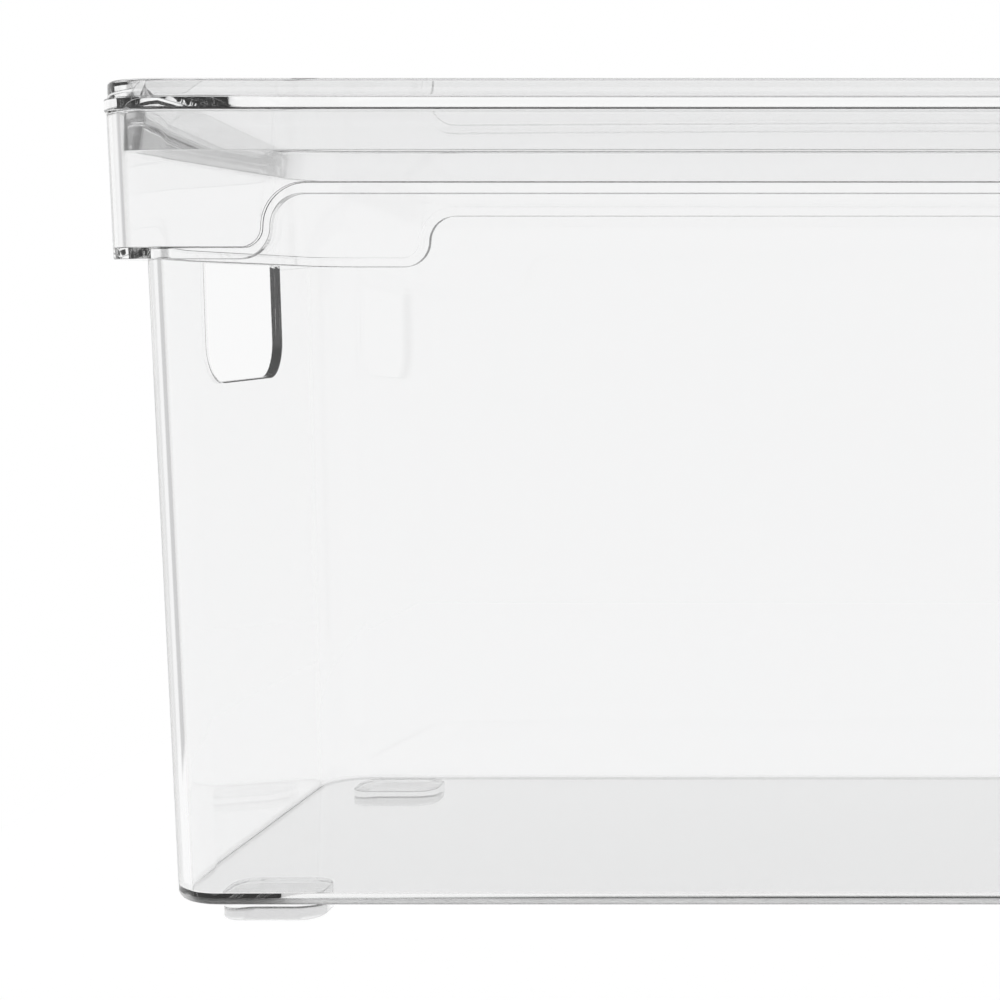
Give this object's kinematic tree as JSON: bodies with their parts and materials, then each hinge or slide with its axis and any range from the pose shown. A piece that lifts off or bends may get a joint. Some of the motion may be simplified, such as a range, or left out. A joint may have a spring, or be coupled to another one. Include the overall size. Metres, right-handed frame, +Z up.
{
  "type": "stackable storage bin",
  "caption": "Clear rectangular storage bin with a stepped rim collar, finger holes in both ends, corner feet and a lift-off lid whose raised edge keeps the feet of the bin stacked on it.",
  "frame": {"origin": "on the surface that the feet stand on, at the middle of the plan", "axes": "+X along the length, +Y across the width from the front to the back, +Z up"},
  "size_m": [0.3842, 0.1288, 0.1819],
  "materials": {
    "bin_plastic": "crystal clear moulded plastic, polished",
    "lid_plastic": "crystal clear moulded plastic, polished",
    "foot_plastic": "clear moulded plastic, polished"
  },
  "bodies": {
    "bin": {"bin_body": "bin_plastic", "foot_front_left": "foot_plastic", "foot_front_right": "foot_plastic", "foot_back_left": "foot_plastic", "foot_back_right": "foot_plastic"},
    "lid": {"lid": "lid_plastic"}
  },
  "joints": [
    {"name": "lid_lift", "type": "slide", "parent": "bin", "child": "lid", "axis": [0, 0, 1], "range_m": [0, 0.2]}
  ]
}
